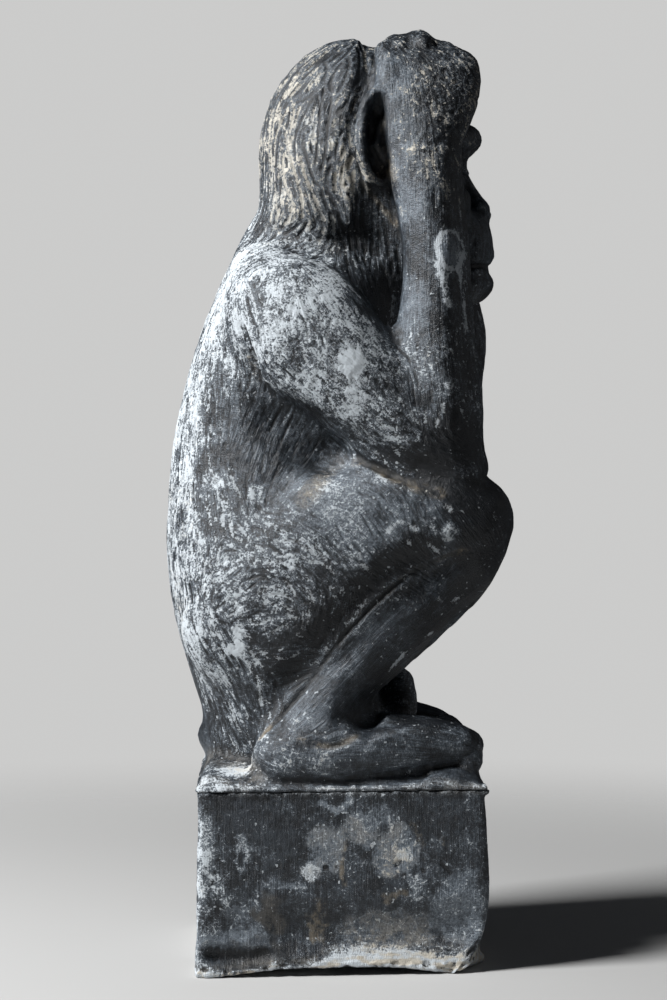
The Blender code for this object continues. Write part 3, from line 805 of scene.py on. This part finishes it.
figure.data.materials.append(lead_finish("weathered_lead", 2.0))
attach(figure, "root")
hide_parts("monkey")

# THE PLINTH
# A box of sheet lead that the figure is soldered down on. Its sides are drawn in above the foot,
# the foot is turned out in a wavy edge that is rubbed to cream, and one corner is curled and torn.
PLINTH_GRAIN = 1.5 * MM
PLINTH_TRIANGLES = 110000
SIDE, TOP = 96, 120
SEED_OF_CHIPS = 9
ARCH_HEIGHT, CORNER_CURL = 5.5, 17

plinth = carried_over("plinth", "lead_plinth")
chips = random.Random(SEED_OF_CHIPS)
# Crumbs along the top edge and lumps along the foot.
lumps = []
edges = ((-93, -93.5, 95, -93.5), (95.5, -94, 95.5, 92), (96, 92.5, -82, 92.5), (-83, 93, -92.5, -93))
for x, y, x_end, y_end in edges:
    steps = round(math.hypot(x_end - x, y_end - y) / 3)
    for k in range(steps):
        size, share = chips.uniform(0.8, 2.2), (k + chips.random()) / steps
        along, aside = x + (x_end - x) * share, y + (y_end - y) * share
        bulge(lumps, along, aside, 118.4, (size * 1.6, size * 1.3, size))
        size = chips.uniform(2.4, 4.4)
        bulge(lumps, along, aside, size * 0.8, (size * 1.2, size * 1.2, size))
joined(plinth, lumps)
recast(plinth, PLINTH_GRAIN)
worked(plinth, "SMOOTH", factor=0.5, iterations=2)

# The sides are drawn in above the foot, with a few deep dents and tears.
dents = [
    ([(-40, -SIDE, 30), (20, -SIDE, 26), (92, -SIDE, 30)], 25, 5.0, 0.3),
    ([(-86, -SIDE, 16), (-70, -SIDE, 13), (-50, -SIDE, 13)], 11, 6.0, 0.4),
    ([(-70, -SIDE, 30), (-60, -SIDE, 24)], 22, 3.0, 0.3),
    ([(-90, SIDE, 26), (0, SIDE, 24), (90, SIDE, 28)], 24, 3.5, 0.4),
    ([(98, -80, 30), (99, 0, 24), (97, 80, 28)], 24, 4.0, 0.4),
    ([(-96, -80, 26), (-92, 0, 24), (-86, 80, 26)], 22, 3.5, 0.4),
    ([(70, -97, 2), (78, -97, 1)], 5, 3.0, 0),
    ([(92, -97, 14), (97, -94, 20)], 6, 3.0, 0.3),
    ([(82, -97, 0), (70, -97, 1)], 5, 3.0, 0),
    ([(-96, -96, 99), (-95, -97, 88)], 3.0, 2.2, 0.4),
    ([(-96, -96, 66), (-96, -97, 60)], 2.6, 1.6, 0.4),
    ([(38, -SIDE, 74), (36, -SIDE, 72)], 3.0, 0.8, 0),
    ([(66, -SIDE, 72), (72, -SIDE, 66)], 3.0, 0.9, 0.4),
]

# Chips along the top edge, chips along the foot, and pits and pimples all over each side.
for x, y, x_end, y_end in ((-93, -96, 96, -96), (96, -96, 98, 95), (98, 96, -84, 96), (-84, 96, -95, -95)):
    for k in range(24):
        share = chips.random()
        spot = (x + (x_end - x) * share, y + (y_end - y) * share, 119)
        dents.append(([spot], chips.uniform(2.0, 4.5), chips.uniform(0.4, 1.4), 0))
    for k in range(26):
        share = chips.random()
        spot = (x + (x_end - x) * share, y + (y_end - y) * share, chips.uniform(0, 6))
        dents.append(([spot], chips.uniform(2.0, 6.0), chips.uniform(0.5, 2.4), 0))
    for k in range(40):
        share = chips.random()
        spot = (x + (x_end - x) * share, y + (y_end - y) * share, chips.uniform(12, 112))
        dents.append(([spot], chips.uniform(1.4, 3.0), chips.choice((-0.5, 0.6, 0.9)), 0))
pressed(plinth, dents)

# On the near side the foot arches up in the middle, and its front corner is curled in.
places, facing = arrays(plinth)
across, up = places[:, 0] / MM, places[:, 2] / MM
near_side = np.clip((-places[:, 1] / MM - 60) / 30, 0, 1)
arch = ARCH_HEIGHT * np.exp(-((across + 4) / 66) ** 4) + 3.0 * np.exp(-((across - 101) / 9) ** 2)
low_down = np.clip(1 - up / 26, 0, 1) ** 1.5
places[:, 2] += arch * near_side * low_down * MM
curled = near_side * np.clip((across - 52) / 40, 0, 1) ** 1.5 * np.clip(1 - up / 34, 0, 1) ** 1.6
places[:, 0] -= CORNER_CURL * curled * MM
lift = np.clip(up / 4, 0, 1) * np.clip((TOP - up) / 4, 0, 1)
swell = 0.9 * uneven(places, 38 * MM, 11) + 0.45 * uneven(places, 12 * MM, 12)
swell = swell + 0.2 * uneven(places, 4.5 * MM, 13)
put_back(plinth, places - facing * ((0.8 - 0.8 * swell) * lift)[:, None] * MM)
groove, fold = hollows_of(plinth, 6, 40)
places, facing = arrays(plinth)
tree = tree_of(places)
thinned(plinth, PLINTH_TRIANGLES)
low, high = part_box("plinth")
kept_inside(plinth, low, high, high[2])
alone(plinth)
bpy.ops.object.shade_smooth()

# What stands out on a side: how far along it and how high, how wide and how tall in millimetres,
# how white, how bare and how rusty.
BLOTCHES = (
    (-66, 79, 8, 14, 0.42, 0.2, 0.0), (-66, 78, 3.4, 5, -0.7, -0.3, 0.0), (-89, 88, 6, 20, 0.2, 0.2, 0.0),
    (-92, 56, 5, 16, 0.2, 0.0, 0.0), (-84, 36, 7, 10, 0.3, 0.0, 0.0), (-80, 62, 4, 8, 0.4, 0.0, 0.0),
    (-84, 76, 6, 16, 0.22, 0.0, 0.0), (-6, 111, 9, 4, 0.34, 0.9, 0.0), (-10, 84, 13, 18, 0.22, 0.8, 0.25),
    (8, 92, 16, 10, 0.16, 0.8, 0.3), (36, 80, 16, 20, 0.20, 0.8, 0.3), (-18, 69, 7, 5, 0.55, 0.3, 0.3),
    (40, 77, 5, 4, 0.5, 0.4, 0.0), (48, 58, 5, 12, 0.22, 0.2, 0.0), (20, 104, 18, 7, 0.14, 0.5, 0.0),
    # The broad bare patch at 78 along and 42 up is a painted sheen on the lower right.
    (-36, 60, 14, 4, 0.24, 0.6, 0.0), (78, 42, 20, 30, 0.10, 0.6, 0.0), (-70, 20, 26, 12, 0.06, 1.0, 0.0),
    (30, 30, 40, 14, 0.06, 0.6, 0.3), (-56, 102, 24, 16, -0.35, 0.0, 0.0),
    (66, 104, 24, 14, -0.3, 0.0, 0.0), (-40, 84, 10, 30, -0.25, 0.0, 0.0),
    (20, 56, 26, 14, -0.2, 0.0, 0.0), (1, 72, 2.4, 16, 0.0, 0.1, 0.6), (-15, 38, 3, 16, 0.0, 0.0, 0.6),
    (-20, 30, 3, 10, 0.0, 0.0, 0.5), (34, 52, 10, 3, 0.05, 0.0, 0.5), (66, 86, 2.5, 4, 0.2, 0.0, 0.6),
    (50, 92, 5, 5, 0.0, 0.0, 0.4), (-46, 40, 10, 16, -0.35, 0.0, 0.2), (-74, 48, 5, 8, 0.3, 0.0, 0.0),
    (-64, 34, 12, 14, 0.12, 0.3, 0.0), (-58, 16, 26, 10, -0.3, 0.0, 0.1),
)

places, facing = arrays(plinth)
nearest = np.array([tree.find(place)[1] for place in places.tolist()])
across, deep, up = (places / MM).T
faces_near, faces_far = facing[:, 1] < -0.6, facing[:, 1] > 0.6
along = np.where(facing[:, 0] > 0, -deep, deep + 10)
along = np.where(faces_near, across, np.where(faces_far, -across, along))
ragged = 8 * uneven(places, 13 * MM, 21) + 2.5 * uneven(places, 4 * MM, 22)
torn = 8 * uneven(places, 12 * MM, 23) + 2 * uneven(places, 4 * MM, 25)
extra = np.zeros((len(places), 3))
for x, z, wide, tall, *more in BLOTCHES:
    spot = np.clip(2 - 2 * (((along + ragged - x) / wide) ** 2 + ((up + torn - z) / tall) ** 2), 0, 1)
    extra += (spot * np.where(faces_near, 1, 0.7))[:, None] * more * (1.4, 1.0, 0.8)
level = np.clip((along + 30) / 35, 0, 1) * np.clip(1 - up / 72, 0, 1)
level = np.clip((level[:, None] - 0.4) * 8, 0, 1)
forwards, outwards, upwards = np.eye(3)
flow = forwards * level + upwards * (1 - level)
sideways = np.abs(facing[:, 0]) > 0.7
flow[sideways] = outwards * level[sideways] + upwards * (1 - level[sideways])
flow -= facing * (flow * facing).sum(1)[:, None]
flow /= np.maximum(np.linalg.norm(flow, axis=1)[:, None], 1e-6)
arch = np.where(faces_near, ARCH_HEIGHT * np.exp(-((across + 4) / 66) ** 4), 0)
band = 6 + 13 * np.clip((along + 20) / 30, 0, 1) * np.clip((92 - along) / 10, 0, 1)
foot = np.clip(1.5 - (up - arch) / band, 0, 1)
solid = np.clip((along + 22) / 16, 0, 1) * np.clip((92 - along) / 8, 0, 1)
lip = np.clip(1.4 - (up - arch + torn * 0.3) / (4 + 8 * solid), 0, 1)
streaks = np.clip(uneven(places * (0.15, 1, 1), 2.6 * MM, 24) * 1.6, 0, 1)
edge = np.clip((up - 116) / 3, 0, 1)
corner = np.clip(((-86 - across) + (-88 - deep)) / 6 - 0.4, 0, 1)
# The side that faces -x, towards the window, is painted a little whiter as a highlight.
keep(plinth, fur=flow,
     white=0.16 + extra[:, 0] + 0.3 * foot + (0.4 + 0.55 * solid) * lip + 0.2 * edge + 0.25 * corner
     + 0.12 * (facing[:, 0] < -0.6),
     bare=0.45 + extra[:, 1], stray=np.full(len(places), 0.85),
     stain=np.clip(extra[:, 2] + 0.25 * foot + 1.1 * streaks * lip + 0.1 * edge, 0, 1),
     groove=groove[nearest] * np.clip((TOP - up) / 4, 0, 1), fold=fold[nearest],
     filled=np.zeros(len(places)))
plinth.data.materials.append(lead_finish("weathered_lead_box", 1.3))
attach(plinth, "root")
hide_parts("plinth")

# THE STAGE
# A pale plain floor that fades into a pale room, one broad soft window high on the left, and a
# weak fill, so that the right-hand side stays in shade as in the photograph.
FLOOR_PALE, ROOM_PALE, ROOM_DIM = (0.50, 0.50, 0.495, 1), (0.60, 0.60, 0.595, 1), (0.010, 0.011, 0.013, 1)
bpy.context.scene.view_settings.view_transform = "Standard"
bpy.ops.mesh.primitive_circle_add(vertices=96, radius=2.4, fill_type="NGON", location=(0, 0, 0))
floor = bpy.context.object
floor.name = "floor"
paint = bpy.data.materials.new("pale_floor")
paint.use_nodes = True
surface = paint.node_tree.nodes["Principled BSDF"]
surface.inputs["Base Color"].default_value = FLOOR_PALE
surface.inputs["Roughness"].default_value = 0.85
ground = Wire(paint.node_tree, None)
reach = ground.node("VectorMath", {"operation": "LENGTH"}, {0: ground.node("TexCoord", output=3)}, 1)
clear = ground.node("BsdfTransparent")
plain = Wire(paint.node_tree, surface.outputs[0])
edge = ground.node("MixShader", {}, {0: reach.rise(0.30, 1.2), 1: plain, 2: clear})
paint.node_tree.links.new(edge.socket, paint.node_tree.nodes["Material Output"].inputs["Surface"])
floor.data.materials.append(paint)

world = bpy.data.worlds.new("room")
bpy.context.scene.world = world
world.use_nodes = True
air = Wire(world.node_tree, None)
shown = air.node("Mix", {"data_type": "RGBA"}, {0: air.node("LightPath"), 6: ROOM_DIM, 7: ROOM_PALE}, 2)
world.node_tree.links.new(shown.socket, world.node_tree.nodes["Background"].inputs["Color"])


def window(name, place, target, size, power, colour):
    """A soft square light that looks at a place."""
    lamp = bpy.data.lights.new(name, "AREA")
    lamp.shape, lamp.size, lamp.energy, lamp.color = "SQUARE", size, power, colour
    holder = bpy.data.objects.new(name, lamp)
    bpy.context.scene.collection.objects.link(holder)
    holder.location = place
    holder.rotation_euler = (Vector(target) - Vector(place)).to_track_quat("-Z", "Y").to_euler()
    holder.visible_camera = False


window("window_left", (-1.56, -0.62, 1.64), (0, 0, 0.40), 0.6, 92, (1.0, 1.0, 1.0))
window("fill_front", (2.1, 0.35, 0.9), (0, 0, 0.35), 1.4, 2.4, (0.95, 0.97, 1.0))

# The camera stands level with the middle of the statue, a metre and a half off, five degrees
# round towards its back.
FOCAL_PIXELS, FRAME_HEIGHT, SENSOR = 2246, 1000, 36
DISTANCE, YAW, EYE_HEIGHT, ASIDE = 1.56, math.radians(5), 0.3105, 0.0028
camera = bpy.data.objects.new("camera", bpy.data.cameras.new("camera"))
bpy.context.scene.collection.objects.link(camera)
camera.data.sensor_width = SENSOR
camera.data.lens = FOCAL_PIXELS / FRAME_HEIGHT * SENSOR
camera.location = (-DISTANCE * math.sin(YAW) + ASIDE * math.cos(YAW),
                   -DISTANCE * math.cos(YAW) - ASIDE * math.sin(YAW), EYE_HEIGHT)
camera.rotation_euler = (math.pi / 2, 0, -YAW)
bpy.context.scene.camera = camera
